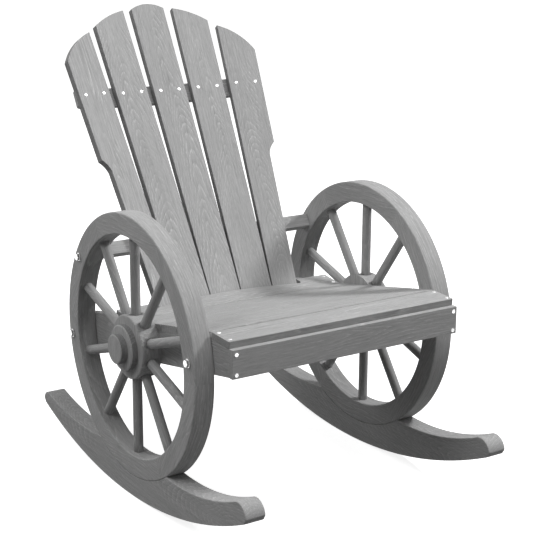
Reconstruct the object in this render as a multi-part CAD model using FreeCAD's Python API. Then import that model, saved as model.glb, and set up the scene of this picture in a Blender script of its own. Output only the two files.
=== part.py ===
import FreeCAD, Part
import math
import os

# A rocking chair whose sides are two spoked wooden wheels standing on rockers.
# Lengths are millimetres. +Z is up, the chair faces -Y, and X runs across it.
# Everything is built round the wheels' centre and moved to the floor at the end.

Vec = FreeCAD.Vector

# Wheels
overall_width = 610.0
wheel_radius = 270.0
rim_height = 44.0
rim_thickness = 42.5
rim_rounding = 2.0
spoke_count = 10
spoke_diameter = 20.0
spoke_depth_in_rim = 12.0
spoke_depth_in_hub = 16.0

# Hubs
hub_radius = 65.5
hub_rounding = 3.5
hub_disc_radius = 47.0
hub_disc_thickness = 13.5
hub_disc_rounding = 3.5
hub_cap_radius = 30.0
hub_cap_thickness = 15.0
hub_cap_rounding = 3.0

# Rockers
rocker_sole_radius = 1071.0
rocker_sole_centre_y = 33.5
rocker_drop = 46.8
rocker_rounding = 2.0
rocker_corner_radius = 6.0
front_bed_angle = 34.5
rear_bed_angle = 29.7
front_top_radius = 552.0
rear_top_radius = 702.0
nose_past_wheel = 169.0
nose_lip = 6.0
nose_lip_rise = 10.0
nose_length = 29.0
nose_depth = 47.6
nose_radius = 28.0
tail_past_wheel = 142.0
tail_lip = 7.0
tail_lip_rise = 9.8
tail_length = 14.0
tail_depth = 33.0
tail_radius = 20.0

# Boards
board_thickness = 15.0
board_rounding = 1.5
slat_gap = 2.0

# Side rails and the seat line that they carry
rail_thickness = 18.0
seat_past_wheel = 49.5
seat_front_z = 77.3
ridge_inside_wheel = 13.0
valley_y = 66.0
hump_y = 137.0
rail_tail_inside_wheel = 14.0
rail_front_depth = 54.0
front_slat_angle = 2.5
seat_angle = 11.15
rear_slat_angle = 6.3
rail_tail_angle = 11.1
rail_sole_angle = 10.5

# Seat slats
middle_slat_count = 5
front_corner_radius = 3.0
rear_slat_depth = 60.0
notch_clearance = 2.0
notch_side_clearance = 12.0
notch_corner_radius = 8.0

# Apron under the front slat
apron_thickness = 12.0
apron_height = 56.0
apron_above_rail = 1.8
apron_rounding = 1.0

# Back: its slats lie on a cone, and rise is measured up the middle slat
back_foot_y = 124.4
back_foot_sink = 2.4
back_lean_angle = 30.0
back_tail = 50.0
curve_radius_foot = 950.0
curve_radius_rail = 1280.0
screw_rise = 476.0
foot_pitch = 77.0
rail_level_pitch = 95.5
slat_foot_width = 75.0
slat_width_at_screws = 79.8

# Tops of the back slats: at the corner nearer the middle, the crown, and the other corner
middle_slat_tops = (675.0, 686.5, 675.0)
inner_slat_tops = (672.0, 660.5, 638.5)
outer_slat_tops = (620.5, 600.0, 556.0)

# Waist of the two outer back slats
outer_slat_foot_width = 57.5
outer_slat_waist_width = 61.7
waist_rise = 300.0
shoulder_rise = 327.0
shoulder_radius = 48.0

# Rails behind the back
upper_rail_height = 41.0
upper_rail_below_screws = 23.0
upper_rail_thickness = 15.0
upper_rail_end_inset = 1.7
upper_rail_corner_radius = 5.0
middle_rail_height = 28.5
middle_rail_front = -1.0
middle_rail_end_thickness = 27.0
middle_rail_thickness = 17.0
lower_rail_height = 30.0
lower_rail_front = 2.0
lower_rail_thickness = 34.0

# Wood screws
screw_head_diameter = 8.0
screw_head_height = 1.2
screw_head_crown = 0.7
screw_head_sink = 2.0
screw_shank_diameter = 4.0
screw_bite = 8.0
back_screw_offset = 23.5
seat_screw_edge = 10.5
apron_screw_end_edge = 9.0
apron_screw_top_edge = 9.7
apron_screw_foot_edge = 7.3

# Six-sided bolts through the rims, each on a washer
bolt_head_width = 13.0
bolt_head_height = 5.3
bolt_head_crown = 1.3
bolt_shank_diameter = 8.0
bolt_bite = 15.0
washer_diameter = 17.0
washer_thickness = 1.6
front_bolt_inset = 21.6
front_bolt_above_sole = 28.7
rear_bolt_inset = 16.0
rear_bolt_above_sole = 44.5
upper_bolt_inset = 18.0
upper_bolt_above_rail_foot = 10.9
upper_bolt_depth = 21.5

# Worked-out sizes
half_width = overall_width / 2
inner_x = half_width - rim_thickness
rail_inner_x = inner_x - rail_thickness
rail_middle_x = inner_x - rail_thickness / 2
mid_plane_x = half_width - rim_thickness / 2
rim_inner_radius = wheel_radius - rim_height
hub_disc_x = half_width + hub_disc_thickness
hub_cap_x = hub_disc_x + hub_cap_thickness
nose_reach = wheel_radius + nose_past_wheel
tail_reach = wheel_radius + tail_past_wheel
beyond = 2 * (overall_width + wheel_radius)
lean = math.radians(back_lean_angle)
sides = {"left": -1, "right": 1}
back_indices = range(-2, 3)

# How far two places may be apart and still count as one
tolerance = 0.01


# Shared geometry

def yz(y, z):
    """A point given in the side view."""
    return Vec(0, y, z)


def slope(degrees):
    return math.tan(math.radians(degrees))


def line(a, b):
    return Part.LineSegment(a, b).toShape()


def arc(a, middle, b):
    return Part.Arc(a, middle, b).toShape()


def arc_of_radius(a, b, radius, toward):
    """The short arc from a to b that bulges to the side that toward points to."""
    chord = b - a
    half = chord.Length / 2
    bulge = toward - chord * (toward.dot(chord) / chord.dot(chord))
    bulge.normalize()
    height = radius - math.sqrt(radius ** 2 - half ** 2)
    return arc(a, (a + b) * 0.5 + bulge * height, b)


def polygon_edges(points):
    return [line(a, b) for a, b in zip(points, points[1:] + points[:1])]


def pushed_out(edges, direction):
    """The solid that a closed outline sweeps along a straight way."""
    return Part.Face(Part.Wire(edges)).extrude(direction)


def side_prism(edges, x_from, x_to):
    """A side-view outline pushed out across the chair."""
    prism = pushed_out(edges, Vec(x_to - x_from, 0, 0))
    prism.translate(Vec(x_from, 0, 0))
    return prism


def rounded(shape, radius, wanted=None):
    """The solid with the edges that pass the test rounded."""
    edges = [edge for edge in shape.Edges if wanted is None or wanted(edge)]
    if radius <= 0 or not edges:
        return shape
    return shape.makeFillet(radius, edges)


def runs_along(direction):
    """A test for straight edges that run one way."""
    def test(edge):
        span = edge.Vertexes[-1].Point - edge.Vertexes[0].Point
        return edge.Length - abs(span.dot(direction)) < tolerance
    return test


def lies_at_x(x):
    """A test for edges in one plane square to the wheels' axis."""
    def test(edge):
        return all(abs(vertex.X - x) < tolerance for vertex in edge.Vertexes)
    return test


def disc(radius, x_from, thickness):
    return Part.makeCylinder(radius, thickness, Vec(x_from, 0, 0), Vec(1, 0, 0))


def on_side(shape, sign):
    """A piece built on the +X side, given for either side."""
    return shape if sign > 0 else shape.mirror(Vec(0, 0, 0), Vec(1, 0, 0))


def cut_for(shape, pieces):
    """The solid with holes for the pieces that pass through it."""
    for piece in pieces:
        shape = shape.cut(piece)
    return shape


# Wheel: rim, spokes and hub, built on the +X side

def make_spoke(index):
    """One dowel, from inside the hub to inside the rim."""
    angle = 2 * math.pi * index / spoke_count
    direction = yz(math.sin(angle), math.cos(angle))
    start = hub_radius - spoke_depth_in_hub
    length = rim_inner_radius + spoke_depth_in_rim - start
    foot = Vec(mid_plane_x, 0, 0) + direction * start
    return Part.makeCylinder(spoke_diameter / 2, length, foot, direction)


def make_rim():
    ring = disc(wheel_radius, inner_x, rim_thickness).cut(disc(rim_inner_radius, inner_x, rim_thickness))
    return rounded(ring, rim_rounding, lambda edge: isinstance(edge.Curve, Part.Circle))


def make_hub_drum():
    return rounded(disc(hub_radius, inner_x, rim_thickness), hub_rounding, lies_at_x(half_width))


def make_hub_disc():
    plate = disc(hub_disc_radius, half_width, hub_disc_thickness)
    return rounded(plate, hub_disc_rounding, lies_at_x(hub_disc_x))


def make_hub_cap():
    cap = disc(hub_cap_radius, hub_disc_x, hub_cap_thickness)
    return rounded(cap, hub_cap_rounding, lies_at_x(hub_cap_x))


# Rocker: a curved plank, rounded and then cut with a bed for the rim

def sole_point(y):
    """A point of the sole, which is an arc with its lowest point under its centre."""
    centre_z = rocker_sole_radius - wheel_radius - rocker_drop
    z = centre_z - math.sqrt(rocker_sole_radius ** 2 - (y - rocker_sole_centre_y) ** 2)
    return yz(y, z)


def bed_point(angle):
    """A point of the wheel, at an angle from its lowest one towards the back."""
    turn = math.radians(angle)
    return yz(wheel_radius * math.sin(turn), -wheel_radius * math.cos(turn))


def make_rocker():
    sole_front = sole_point(-nose_reach)
    nose_tip = sole_front + yz(-nose_lip, nose_lip_rise)
    nose_top = sole_point(nose_length - nose_reach) + yz(0, nose_depth)
    sole_back = sole_point(tail_reach)
    tail_tip = sole_back + yz(tail_lip, tail_lip_rise)
    tail_top = sole_point(tail_reach - tail_length) + yz(0, tail_depth)
    front_bed = bed_point(-front_bed_angle)
    rear_bed = bed_point(rear_bed_angle)
    down = yz(0, -1)
    edges = [
        arc_of_radius(nose_top, front_bed, front_top_radius, down),
        line(front_bed, rear_bed),
        arc_of_radius(rear_bed, tail_top, rear_top_radius, down),
        arc_of_radius(tail_top, tail_tip, tail_radius, yz(1, 1)),
        line(tail_tip, sole_back),
        arc(sole_back, sole_point(rocker_sole_centre_y), sole_front),
        line(sole_front, nose_tip),
        arc_of_radius(nose_tip, nose_top, nose_radius, yz(-1, 1)),
    ]
    plank = side_prism(edges, inner_x, half_width)
    runs_across = runs_along(Vec(1, 0, 0))

    def at_end(edge):
        return runs_across(edge) and abs(edge.CenterOfMass.y) > wheel_radius

    plank = rounded(plank, rocker_corner_radius, at_end)
    plank = rounded(plank, rocker_rounding, lambda edge: not runs_across(edge))
    return plank.cut(disc(wheel_radius, inner_x, rim_thickness))


# Side rail: its top edge is the line that the seat slats lie on

seat_front_y = -wheel_radius - seat_past_wheel
ridge_y = -wheel_radius + ridge_inside_wheel
rail_tail_y = wheel_radius - rail_tail_inside_wheel
ridge_z = seat_front_z + (ridge_y - seat_front_y) * slope(front_slat_angle)
valley_z = ridge_z - (valley_y - ridge_y) * slope(seat_angle)
hump_z = valley_z + (hump_y - valley_y) * slope(rear_slat_angle)
rail_tail_z = hump_z - (rail_tail_y - hump_y) * slope(rail_tail_angle)
seat_front = yz(seat_front_y, seat_front_z)
ridge = yz(ridge_y, ridge_z)
valley = yz(valley_y, valley_z)
hump = yz(hump_y, hump_z)


def rail_sole_z(y):
    return seat_front_z - rail_front_depth - (y - seat_front_y) * slope(rail_sole_angle)


def make_side_rail():
    points = [
        seat_front,
        ridge,
        valley,
        hump,
        yz(rail_tail_y, rail_tail_z),
        yz(rail_tail_y, rail_sole_z(rail_tail_y)),
        yz(seat_front_y, rail_sole_z(seat_front_y)),
    ]
    return side_prism(polygon_edges(points), rail_inner_x, inner_x)


# Seat slats

class Board:
    """A board across the chair, lying on the side-view line from a to b."""

    def __init__(self, a, b, start, width):
        self.along = b - a
        self.along.normalize()
        self.normal = yz(-self.along.z, self.along.y)
        self.foot = a + self.along * start
        self.width = width

    def on_top(self, distance, x):
        """A point of the top face, some way back from the front edge."""
        return self.foot + self.along * distance + self.normal * board_thickness + Vec(x, 0, 0)

    def block(self):
        corners = [
            self.foot,
            self.foot + self.along * self.width,
            self.on_top(self.width, 0),
            self.on_top(0, 0),
        ]
        return side_prism(polygon_edges(corners), -inner_x, inner_x)

    def screws(self):
        """Two screws at each end, down into the side rails."""
        places = (seat_screw_edge, self.width - seat_screw_edge)
        return [
            wood_screw(self.on_top(place, sign * rail_middle_x), self.normal * -1, board_thickness)
            for place in places
            for sign in sides.values()
        ]


def eased(board):
    """A board with its long edges rounded."""
    return rounded(board, board_rounding, runs_along(Vec(1, 0, 0)))


def valley_setback():
    """How far each board stops from the valley, so that their top corners clear."""
    half_angle = math.radians((seat_angle + rear_slat_angle) / 2)
    return board_thickness * math.tan(half_angle) + slat_gap / 2


front_board = Board(seat_front, ridge, slat_gap / 2, (ridge - seat_front).Length - slat_gap)
rear_board = Board(valley, hump, valley_setback(), rear_slat_depth)


def make_front_slat():
    """The first board, with its two front corners rounded."""
    block = front_board.block()
    upright = runs_along(front_board.normal)
    middle = front_board.on_top(front_board.width / 2, 0)

    def front_corner(edge):
        return upright(edge) and (edge.CenterOfMass - middle).dot(front_board.along) < 0

    return eased(rounded(block, front_corner_radius, front_corner))


def make_middle_slat(index):
    """One of the equal boards between the ridge and the valley."""
    run = (valley - ridge).Length - slat_gap / 2 - valley_setback()
    pitch = (run + slat_gap) / middle_slat_count
    board = Board(ridge, valley, slat_gap / 2 + index * pitch, pitch - slat_gap)
    return eased(board.block())


# Places in the back

seat_top_at_back = (
    valley_z
    + board_thickness / math.cos(math.radians(rear_slat_angle))
    + (back_foot_y - valley_y) * slope(rear_slat_angle)
)
back_foot_z = seat_top_at_back - back_foot_sink


def back_point(x, rise, forward):
    """A point of the back: rise runs up the middle slat, forward is square to it."""
    y = back_foot_y + rise * math.sin(lean) - forward * math.cos(lean)
    z = back_foot_z + rise * math.cos(lean) + forward * math.sin(lean)
    return Vec(x, y, z)


back_origin = back_point(0, 0, 0)
back_up = back_point(0, 1, 0) - back_origin
back_forward = back_point(0, 0, 1) - back_origin


def curve_depth(x, radius):
    """How far the curved back has come forward at x."""
    return radius - math.sqrt(radius ** 2 - x ** 2)


def half_slat_at(rise):
    """Half the width of a slat at one height, away from the outer slats' waist."""
    growth = (slat_width_at_screws - slat_foot_width) / screw_rise
    return (slat_foot_width + growth * rise) / 2


# Rear seat slat, cut away for the feet of the back slats

def make_rear_slat():
    outer_edge = 2 * foot_pitch + outer_slat_foot_width - half_slat_at(0)
    half = outer_edge + notch_side_clearance
    side_forward = notch_clearance + curve_depth(half, curve_radius_foot)
    left_front = back_point(-half, -back_tail, side_forward)
    right_front = back_point(half, -back_tail, side_forward)
    left_back = back_point(-half, -back_tail, -beyond)
    right_back = back_point(half, -back_tail, -beyond)
    edges = [
        arc(left_front, back_point(0, -back_tail, notch_clearance), right_front),
        line(right_front, right_back),
        line(right_back, left_back),
        line(left_back, left_front),
    ]
    runs_up = runs_along(back_up)

    def front_corner(edge):
        return runs_up(edge) and (edge.CenterOfMass - back_origin).dot(back_forward) > 0

    notch = rounded(pushed_out(edges, back_up * 2 * back_tail), notch_corner_radius, front_corner)
    return eased(rear_board.block()).cut(notch)


# Apron

apron_top_z = seat_front_z + apron_above_rail


def make_apron():
    """The apron, with its ends flush with the side rails."""
    corner = Vec(-inner_x, seat_front_y - apron_thickness, apron_top_z - apron_height)
    return rounded(Part.makeBox(2 * inner_x, apron_thickness, apron_height, corner), apron_rounding)


# Back slats: five flat boards, each turned to face the middle

class SlatFrame:
    """The place of one back slat: across, up its length, and out of its face."""

    def __init__(self, index):
        foot_x = index * foot_pitch
        rail_x = index * rail_level_pitch
        self.foot = back_point(foot_x, 0, curve_depth(foot_x, curve_radius_foot))
        rail = back_point(rail_x, screw_rise, curve_depth(rail_x, curve_radius_rail))
        self.up = rail - self.foot
        self.up.normalize()
        turn = math.asin((foot_x / curve_radius_foot + rail_x / curve_radius_rail) / 2)
        across = Vec(1, 0, 0) * math.cos(turn) + back_forward * math.sin(turn)
        self.across = across - self.up * across.dot(self.up)
        self.across.normalize()
        self.out = self.across.cross(self.up)

    def at(self, across, rise, out=0.0):
        return self.foot + self.across * across + self.up * rise + self.out * out


def slat_edges(frame, tops):
    """The outline of a slat whose sides are straight."""
    near_rise, crown_rise, far_rise = tops
    near_top = frame.at(-half_slat_at(near_rise), near_rise)
    far_top = frame.at(half_slat_at(far_rise), far_rise)
    near_foot = frame.at(-half_slat_at(-back_tail), -back_tail)
    far_foot = frame.at(half_slat_at(-back_tail), -back_tail)
    return [
        line(near_foot, near_top),
        arc(near_top, frame.at(0, crown_rise), far_top),
        line(far_top, far_foot),
        line(far_foot, near_foot),
    ]


def waisted_edges(frame, tops):
    """The outline of an outer slat, drawn in below a shoulder."""
    left_side, crown = slat_edges(frame, tops)[:2]
    far_top = frame.at(half_slat_at(tops[2]), tops[2])
    shoulder = frame.at(half_slat_at(shoulder_rise), shoulder_rise)
    waist = frame.at(outer_slat_waist_width - half_slat_at(waist_rise), waist_rise)
    far_foot = frame.at(outer_slat_foot_width - half_slat_at(-back_tail), -back_tail)
    near_foot = frame.at(-half_slat_at(-back_tail), -back_tail)
    return [
        left_side,
        crown,
        line(far_top, shoulder),
        arc_of_radius(shoulder, waist, shoulder_radius, frame.across * -1),
        line(waist, far_foot),
        line(far_foot, near_foot),
    ]


def make_back_slat(index):
    frame = SlatFrame(abs(index))
    outlines = {
        0: (slat_edges, middle_slat_tops),
        1: (slat_edges, inner_slat_tops),
        2: (waisted_edges, outer_slat_tops),
    }
    outline, tops = outlines[abs(index)]
    slat = pushed_out(outline(frame, tops), frame.out * -board_thickness)
    return on_side(slat, index or 1)


# Rails behind the back

def space_in_front():
    """All that lies in front of the backs of all five slats."""
    space = None
    for index in back_indices:
        frame = SlatFrame(abs(index))
        corners = [
            frame.at(-beyond, -beyond, -board_thickness),
            frame.at(beyond, -beyond, -board_thickness),
            frame.at(beyond, beyond, -board_thickness),
            frame.at(-beyond, beyond, -board_thickness),
        ]
        block = on_side(pushed_out(polygon_edges(corners), frame.out * beyond), index or 1)
        space = block if space is None else space.common(block)
    return space


def back_rail(foot, height, half_length, front, back_end, back_middle=None):
    """A rail up to the slats, with a back that is straight or bows out to back_middle."""
    left_front = back_point(-half_length, foot, front)
    right_front = back_point(half_length, foot, front)
    left_back = back_point(-half_length, foot, back_end)
    right_back = back_point(half_length, foot, back_end)
    if back_middle is None:
        back_edge = line(right_back, left_back)
    else:
        back_edge = arc(right_back, back_point(0, foot, back_middle), left_back)
    edges = [
        line(left_back, left_front),
        line(left_front, right_front),
        line(right_front, right_back),
        back_edge,
    ]
    return pushed_out(edges, back_up * height).cut(space_in_front())


def make_upper_rail():
    """The bowed rail that the slats are screwed to."""
    half = 2 * rail_level_pitch + slat_width_at_screws / 2 - upper_rail_end_inset
    front = curve_depth(half, curve_radius_rail)
    back_middle = -board_thickness - upper_rail_thickness
    back_end = back_middle + curve_depth(half, curve_radius_rail + board_thickness)
    foot = screw_rise - upper_rail_below_screws
    rail = back_rail(foot, upper_rail_height, half, front, back_end, back_middle)
    return rounded(rail, upper_rail_corner_radius, runs_along(back_forward))


def make_middle_rail():
    """The rail between the wheels, bolted through their rims."""
    foot = upper_bolt_rise() - upper_bolt_above_rail_foot
    back_end = middle_rail_front - middle_rail_end_thickness
    back_middle = -board_thickness - middle_rail_thickness
    return back_rail(foot, middle_rail_height, inner_x, middle_rail_front, back_end, back_middle)


def make_lower_rail():
    """The rail between the side rails, behind the feet of the slats."""
    back = lower_rail_front - lower_rail_thickness
    return back_rail(-back_tail, lower_rail_height, rail_inner_x, lower_rail_front, back)


# Screws and bolts

def turned_head(diameter, length, crown, top, inward):
    """A round bar with its upper edge rounded."""
    def on_top(edge):
        return abs((edge.CenterOfMass - top).dot(inward)) < tolerance

    return rounded(Part.makeCylinder(diameter / 2, length, top, inward), crown, on_top)


def wood_screw(face_point, inward, board):
    """A screw through a board of one thickness into what lies behind it."""
    length = screw_head_height + screw_head_sink
    head_top = face_point - inward * screw_head_height
    head = turned_head(screw_head_diameter, length, screw_head_crown, head_top, inward)
    shank = Part.makeCylinder(screw_shank_diameter / 2, board + screw_bite, face_point, inward)
    return head.fuse(shank).removeSplitter()


def back_screws():
    """Two screws through every back slat into the upper rail."""
    pieces = []
    for index in back_indices:
        frame = SlatFrame(abs(index))
        for offset in (-back_screw_offset, back_screw_offset):
            piece = wood_screw(frame.at(offset, screw_rise), frame.out * -1, board_thickness)
            pieces.append(on_side(piece, index or 1))
    return pieces


def apron_screws():
    """Two screws at each end of the apron into the front of a side rail."""
    face_y = seat_front_y - apron_thickness
    heights = (
        apron_top_z - apron_screw_top_edge,
        apron_top_z - apron_height + apron_screw_foot_edge,
    )
    end_x = inner_x - apron_screw_end_edge
    return [
        wood_screw(Vec(sign * end_x, face_y, z), Vec(0, 1, 0), apron_thickness)
        for z in heights
        for sign in sides.values()
    ]


def place_on_rim(inset, z_at_axis, rise_per_length, sign):
    """Where a side-view line crosses a circle inside the wheel, ahead of the axis or behind it."""
    radius = wheel_radius - inset
    spread = 1 + rise_per_length ** 2
    root = math.sqrt(spread * radius ** 2 - z_at_axis ** 2)
    y = (sign * root - z_at_axis * rise_per_length) / spread
    return yz(y, z_at_axis + rise_per_length * y)


def upper_bolt_place():
    """The bolt that holds the middle rail: it lies on a line up the back."""
    start = back_point(0, 0, middle_rail_front - upper_bolt_depth)
    rise_per_length = 1 / math.tan(lean)
    return place_on_rim(upper_bolt_inset, start.z - start.y * rise_per_length, rise_per_length, 1)


def upper_bolt_rise():
    return (upper_bolt_place() - back_origin).dot(back_up)


def bolt_places():
    """Where the bolts' axes leave the face of the rim on the +X side."""
    fall = -slope(rail_sole_angle)
    places = [
        place_on_rim(front_bolt_inset, rail_sole_z(0) + front_bolt_above_sole, fall, -1),
        place_on_rim(rear_bolt_inset, rail_sole_z(0) + rear_bolt_above_sole, fall, 1),
        upper_bolt_place(),
    ]
    return [place + Vec(half_width, 0, 0) for place in places]


def make_bolt(place):
    """A bolt through the rim into what lies inside it, its head on a washer."""
    corner_radius = bolt_head_width / math.sqrt(3)
    foot = place + Vec(washer_thickness, 0, 0)
    top = foot + Vec(bolt_head_height, 0, 0)
    turns = [math.radians(60 * step) for step in range(6)]
    corners = [foot + yz(math.cos(turn), math.sin(turn)) * corner_radius for turn in turns]
    six_sided = pushed_out(polygon_edges(corners), top - foot)
    inward = Vec(-1, 0, 0)
    head = turned_head(2 * corner_radius, bolt_head_height, bolt_head_crown, top, inward).common(six_sided)
    length = washer_thickness + rim_thickness + bolt_bite
    shank = Part.makeCylinder(bolt_shank_diameter / 2, length, foot, inward)
    return head.fuse(shank).removeSplitter()


def make_washer(place):
    return Part.makeCylinder(washer_diameter / 2, washer_thickness, place, Vec(1, 0, 0))


# Assembly: holes are cut with the pieces that fill them

def wheel_nodes(bolts):
    spokes = [make_spoke(index) for index in range(spoke_count)]
    pieces = {
        "wheel_rim_": cut_for(make_rim(), spokes + bolts),
        "hub_drum_": cut_for(make_hub_drum(), spokes),
        "hub_disc_": make_hub_disc(),
        "hub_cap_": make_hub_cap(),
        "rocker_": make_rocker(),
        "wheel_bolts_": Part.makeCompound(bolts),
        "wheel_washers_": Part.makeCompound([cut_for(make_washer(place), bolts) for place in bolt_places()]),
    }
    nodes = {}
    for side, sign in sides.items():
        for name, piece in pieces.items():
            nodes[name + side] = on_side(piece, sign)
        for index, spoke in enumerate(spokes):
            nodes["spoke_%s_%02d" % (side, index + 1)] = on_side(spoke, sign)
    return nodes


def seat_nodes(bolts):
    front_screws = front_board.screws()
    rear_screws = rear_board.screws()
    apron_fixings = apron_screws()
    nodes = {}
    for side, sign in sides.items():
        fasteners = front_screws + rear_screws + apron_fixings + bolts
        nodes["side_rail_" + side] = cut_for(on_side(make_side_rail(), sign), fasteners)
    nodes["front_apron"] = cut_for(make_apron(), apron_fixings)
    nodes["seat_slat_front"] = cut_for(make_front_slat(), front_screws)
    for index in range(middle_slat_count):
        nodes["seat_slat_middle_%d" % (index + 1)] = make_middle_slat(index)
    nodes["seat_slat_rear"] = cut_for(make_rear_slat(), rear_screws)
    nodes["seat_screws"] = Part.makeCompound(front_screws + rear_screws)
    nodes["apron_screws"] = Part.makeCompound(apron_fixings)
    return nodes


def back_nodes(bolts):
    fixings = back_screws()
    slats = [make_back_slat(index) for index in back_indices]
    nodes = {}
    for number, slat in enumerate(slats):
        nodes["back_slat_%d" % (number + 1)] = cut_for(slat, fixings)
    nodes["upper_back_rail"] = cut_for(make_upper_rail(), slats + fixings)
    nodes["middle_back_rail"] = cut_for(make_middle_rail(), slats + bolts)
    nodes["lower_back_rail"] = cut_for(make_lower_rail(), slats)
    nodes["back_screws"] = Part.makeCompound(fixings)
    return nodes


def build():
    bolts = [make_bolt(place) for place in bolt_places()]
    bolts_both_sides = bolts + [on_side(bolt, -1) for bolt in bolts]
    nodes = wheel_nodes(bolts)
    nodes.update(seat_nodes(bolts_both_sides))
    nodes.update(back_nodes(bolts_both_sides))
    return nodes


def move_to_floor(nodes):
    """The origin goes to the middle of the chair's box, on the floor."""
    box = Part.makeCompound(list(nodes.values())).optimalBoundingBox(False)
    shift = Vec(-box.Center.x, -box.Center.y, -box.ZMin)
    for shape in nodes.values():
        shape.translate(shift)
    print("wheel centre at y %.3f z %.3f" % (shift.y, shift.z))
    print("size %.1f %.1f %.1f" % (box.XLength, box.YLength, box.ZLength))


def main():
    os.makedirs("parts", exist_ok=True)
    nodes = build()
    move_to_floor(nodes)
    for name, shape in nodes.items():
        shape.exportStep("parts/%s.step" % name)
    print(len(nodes), "nodes")


main()
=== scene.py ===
import math

import bmesh
import bpy
import numpy as np
from bpy.props import FloatProperty, FloatVectorProperty, IntProperty, PointerProperty
from mathutils import Euler, Matrix, Vector


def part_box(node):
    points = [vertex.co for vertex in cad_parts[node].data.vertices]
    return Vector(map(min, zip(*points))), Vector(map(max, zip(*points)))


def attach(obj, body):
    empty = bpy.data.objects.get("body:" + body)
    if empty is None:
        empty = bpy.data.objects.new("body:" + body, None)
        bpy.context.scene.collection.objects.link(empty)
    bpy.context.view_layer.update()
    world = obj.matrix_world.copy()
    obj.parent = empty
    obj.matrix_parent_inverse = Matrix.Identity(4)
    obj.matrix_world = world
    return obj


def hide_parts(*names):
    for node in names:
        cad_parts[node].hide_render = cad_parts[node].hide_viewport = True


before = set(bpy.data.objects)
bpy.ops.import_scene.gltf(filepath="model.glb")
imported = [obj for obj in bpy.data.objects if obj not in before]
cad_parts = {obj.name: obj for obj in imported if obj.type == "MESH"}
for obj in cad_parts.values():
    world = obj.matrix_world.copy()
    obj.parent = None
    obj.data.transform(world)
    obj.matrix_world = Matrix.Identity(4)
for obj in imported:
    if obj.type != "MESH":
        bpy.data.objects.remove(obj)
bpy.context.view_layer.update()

# A rocking chair between two spoked wheels: grey-stained wood, bright screws and bolts.
# Lengths are metres, in the frame's own axes: +Z up, the chair faces -Y, X runs across it.

bl_info = {
    "name": "Wagon wheel rocking chair",
    "version": (1, 0, 0),
    "blender": (4, 5, 0),
    "location": "View3D > Sidebar > Rocking chair",
    "description": "Dresses the packed frame of a wagon wheel rocking chair",
    "category": "Object",
}

MM = 0.001
SIDES = ("left", "right")
SPOKES_PER_WHEEL = 10
MIDDLE_BOARDS = 5
BACK_BOARDS = 5

# Which way the wood runs: along the grain, across it and into the face
ALONG_X = ((1, 0, 0), (0, 1, 0), (0, 0, 1))
ALONG_X_UPRIGHT = ((1, 0, 0), (0, 0, 1), (0, 1, 0))
ALONG_Y = ((0, 1, 0), (0, 0, 1), (1, 0, 0))
ALONG_Z = ((0, 0, 1), (0, 1, 0), (1, 0, 0))

# Each board's number picks its own grain, and each kind of board starts at one of these
BACK_BOARD = 2
SEAT_BOARD = 11
SEAT_END_BOARD = 18
BACK_RAIL_BOARD = 22
SPOKE_BOARD = 40
HUB_BOARD = 80
ROCKER_BOARD = 90
SIDE_RAIL_BOARD = 94
APRON_BOARD = 97
RIM_BOARD = 140
BOARDS_PER_WHEEL = 20
BOARDS_PER_HUB = 5

# How fast the rings run out along a board
ROCKER_ARCH = 0.3
APRON_ARCH = 0.06

# How finely the round forms are divided
RIM_SEGMENTS = 160
RIM_CORNER_STEPS = 4
SLAT_CORNER_STEPS = 3
BACK_EDGE_STEPS = 4
EDGE_STEPS = 3
SPOKE_SIDES = 32
SPOKE_STEPS = 6
HEAD_SIDES = 40
SHANK_SIDES = 16

# Shading runs on smoothly over an edge that bends less than this
SMOOTH = math.radians(35)
SMOOTH_HEAD = math.radians(30)
SMOOTH_SLAT = math.radians(40)

# An edge that bends more than this is eased, if it is long enough
SHARP = math.radians(50)
SHARP_BACK = math.radians(40)
SHORTEST_WOOD_EDGE = 12 * MM
SHORTEST_STEEL_EDGE = 3 * MM

# Shares of a face's normal that tell a board's sawn side, a wheel's treads and a bolt's top
SAWN_SIDE = 0.35
TREAD = 0.5
INNER_TREAD = 0.7
BOLT_TOP = 0.6

# How fast the painted shade inside a rim fades as its face turns up
PAINTED_SHADE_FADE = 1.6

# The screws, as the frame has them, and how a head's flat top is known
SCREW_DIAMETER = 4 * MM
SCREW_HEAD_HEIGHT = 1.2 * MM
SCREW_TOP_RADIUS = 3.3 * MM
SCREW_TOLERANCE = 0.3 * MM
SCREW_TOP_CORNERS = 8

# Each set of screws, with the length of a shank and how many there are
SCREW_SETS = (("back_screws", 23 * MM, 10), ("seat_screws", 23 * MM, 8), ("apron_screws", 25 * MM, 4))

# A screw head's outline in millimetres, as radius and height, from its top to its foot
SCREW_PROFILE = (
    (1.8, 1.2), (3.0, 1.12), (3.5, 0.95), (3.85, 0.6), (4.0, 0.1), (4.0, -0.5), (3.4, -1.2), (2.0, -2.0))
RECESS_ARM = 0.35 * MM
RECESS_TOP = 1.6 * MM
RECESS_FOOT = 0.1 * MM
RECESS_TAPER = 0.55

# Lamps: name, degrees from the front to the right, degrees above level, and diameter
LAMPS = (("key", 68, 45, 1.0), ("front", 0, 60, 2.4), ("side", -90, 45, 1.8), ("rear", -150, 30, 2.4))
LAMP_AIM = Vector((0, 0, 0.4))
FLOOR_REACH = 30.0


# Sizes read from the frame

def size_of(node):
    low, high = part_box(node)
    return high - low


def centre_of(node):
    low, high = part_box(node)
    return (low + high) / 2


RIM = size_of("wheel_rim_right")
RIM_CENTRE = centre_of("wheel_rim_right")
SPOKE = size_of("spoke_right_01")


# Values that a user may change

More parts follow.
